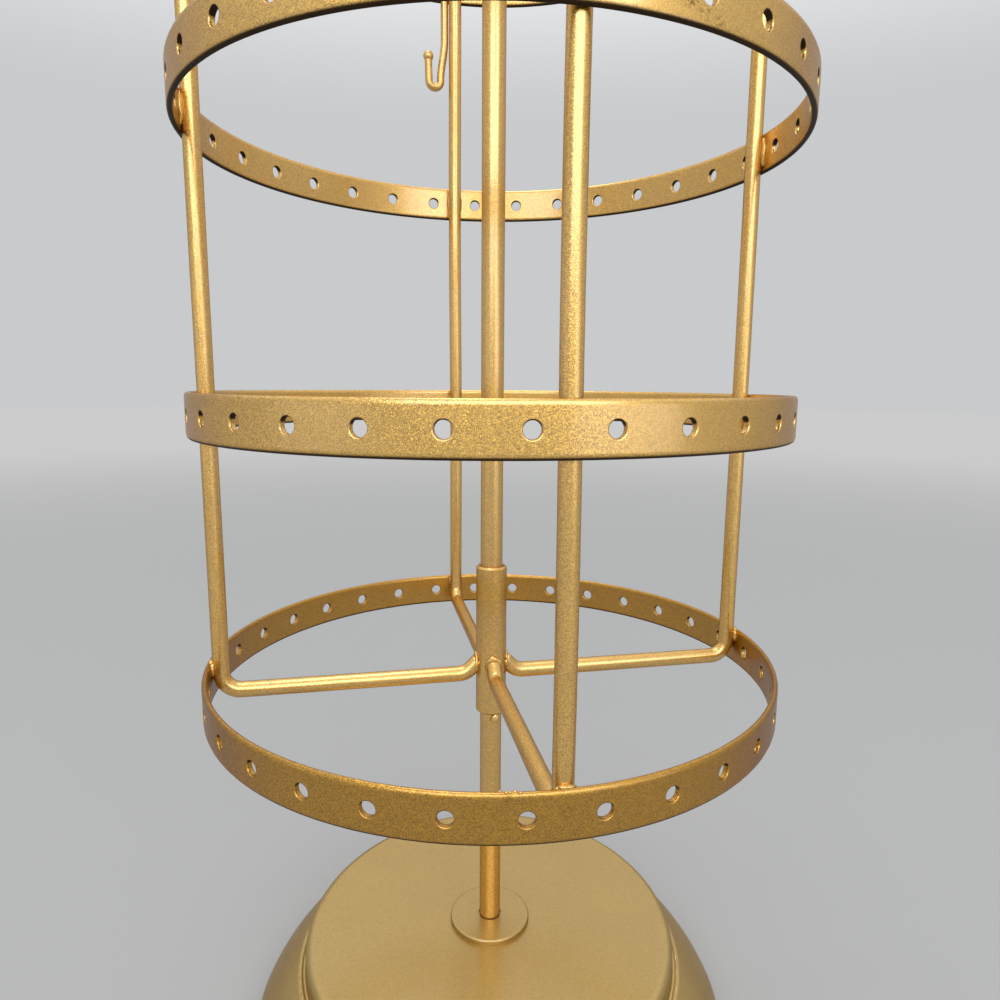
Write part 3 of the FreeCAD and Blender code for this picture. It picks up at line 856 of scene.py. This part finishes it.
def studio_floor():
    """A pale disc, seen as the backdrop's tone far away and as lit paint near the stand."""
    tone = Finish("studio_floor")
    tone.feed(tone.shader, "Base Color", (FLOOR_TONE, FLOOR_TONE, FLOOR_TONE, 1.0))
    tone.feed(tone.shader, "Roughness", FLOOR_ROUGHNESS)
    tone.feed(tone.shader, "Specular IOR Level", FLOOR_SPECULAR)
    away = tone.vector("LENGTH", tone.place).outputs["Value"]
    far = tone.node("Emission", Color=(BACKDROP_TONE, BACKDROP_TONE, BACKDROP_TONE, 1.0), Strength=1.0)
    rays = tone.node("LightPath").outputs
    seen = tone.number("MAXIMUM", rays["Is Camera Ray"], rays["Is Glossy Ray"])
    seen = tone.number("MAXIMUM", seen, rays["Is Transmission Ray"])
    blend = tone.node("MixShader")
    tone.feed(blend, "0", tone.number("MULTIPLY", seen, tone.rise(away, FADE_START, FADE_END)))
    tone.feed(blend, "1", tone.shader.outputs["BSDF"])
    tone.feed(blend, "2", far.outputs["Emission"])
    tone.feed(tone.tree.nodes["Material Output"], "Surface", blend.outputs["Shader"])
    angle = np.linspace(0, 2 * math.pi, RIM_STEPS, endpoint=False)
    rim = np.stack([FLOOR_RADIUS * np.cos(angle), FLOOR_RADIUS * np.sin(angle), 0 * angle], axis=-1)
    mesh = bpy.data.meshes.new("studio_floor")
    mesh.from_pydata(rim.tolist(), [], [list(range(len(rim)))])
    mesh.materials.append(tone.material)
    floor = bpy.data.objects.new("studio_floor", mesh)
    bpy.context.scene.collection.objects.link(floor)


def studio_world():
    """A pale room, the same to every ray: one tone at the stand's level and a lighter one above."""
    world = bpy.data.worlds.new("studio_world")
    bpy.context.scene.world = world
    world.use_nodes = True
    tree = world.node_tree
    direction = tree.nodes.new("ShaderNodeTexCoord")
    split = tree.nodes.new("ShaderNodeSeparateXYZ")
    level = tree.nodes.new("ShaderNodeMapRange")
    level.interpolation_type = "SMOOTHSTEP"
    level.inputs["From Min"].default_value = SKY_RISE_START
    level.inputs["From Max"].default_value = SKY_RISE_END
    level.inputs["To Min"].default_value = BACKDROP_TONE
    level.inputs["To Max"].default_value = SKY_HIGH
    surroundings = tree.nodes["Background"]
    surroundings.inputs["Color"].default_value = SKY_TINT
    tree.links.new(direction.outputs["Generated"], split.inputs["Vector"])
    tree.links.new(split.outputs["Z"], level.inputs["Value"])
    tree.links.new(level.outputs["Result"], surroundings.inputs["Strength"])


def softbox(name, centre, size, radiance):
    """A rectangular lamp turned to the stand, whose power is pi times its area times its radiance."""
    lamp = bpy.data.lights.new(name, "AREA")
    lamp.shape = "RECTANGLE"
    lamp.size = size[0]
    lamp.size_y = size[1]
    lamp.energy = radiance * math.pi * size[0] * size[1]
    holder = bpy.data.objects.new(name, lamp)
    holder.location = centre
    holder.rotation_mode = "QUATERNION"
    holder.rotation_quaternion = (Vector(centre) - STAND_MIDDLE).to_track_quat("Z", "Y")
    bpy.context.scene.collection.objects.link(holder)


studio_floor()
studio_world()
softbox("top_softbox", centre=(-0.1, 0.1, 1.3), size=(0.7, 0.6), radiance=3.6)
softbox("front_softbox", centre=(0.1, -1.1, 0.72), size=(1.7, 0.7), radiance=2.7)
softbox("right_softbox", centre=(0.85, -0.85, 0.2), size=(0.8, 0.34), radiance=1.15)
softbox("left_softbox", centre=(-0.95, -0.6, 0.2), size=(0.7, 0.34), radiance=0.3)


# ---------------------------------------------------------------- Camera
# A short lens close to the stand, a little above the second ring and looking slightly down.
# It is turned a little to the right and rolled by less than half a degree.

EYE = Vector((0.0, -192.3 * MM, 181.8 * MM))
LOOK_DOWN = math.radians(8.856)
LOOK_RIGHT = math.radians(0.655)
ROLL = math.radians(0.402)
LENS = 25.91
SENSOR = 36.0
SHIFT_UP = -0.0034
NEAREST = 0.01
FARTHEST = 50.0

level = Vector((math.cos(LOOK_RIGHT), -math.sin(LOOK_RIGHT), 0.0))
forward = Vector((math.sin(LOOK_RIGHT) * math.cos(LOOK_DOWN), math.cos(LOOK_RIGHT) * math.cos(LOOK_DOWN),
                  -math.sin(LOOK_DOWN)))
upward = level.cross(forward)
right_axis = level * math.cos(ROLL) + upward * math.sin(ROLL)
up_axis = upward * math.cos(ROLL) - level * math.sin(ROLL)
lens = bpy.data.cameras.new("camera")
lens.sensor_width = SENSOR
lens.lens = LENS
lens.shift_y = SHIFT_UP
lens.clip_start = NEAREST
lens.clip_end = FARTHEST
camera = bpy.data.objects.new("camera", lens)
camera.matrix_world = Matrix((right_axis, up_axis, -forward)).transposed().to_4x4()
camera.location = EYE
bpy.context.scene.collection.objects.link(camera)
bpy.context.scene.camera = camera
bpy.context.scene.view_settings.view_transform = "Standard"
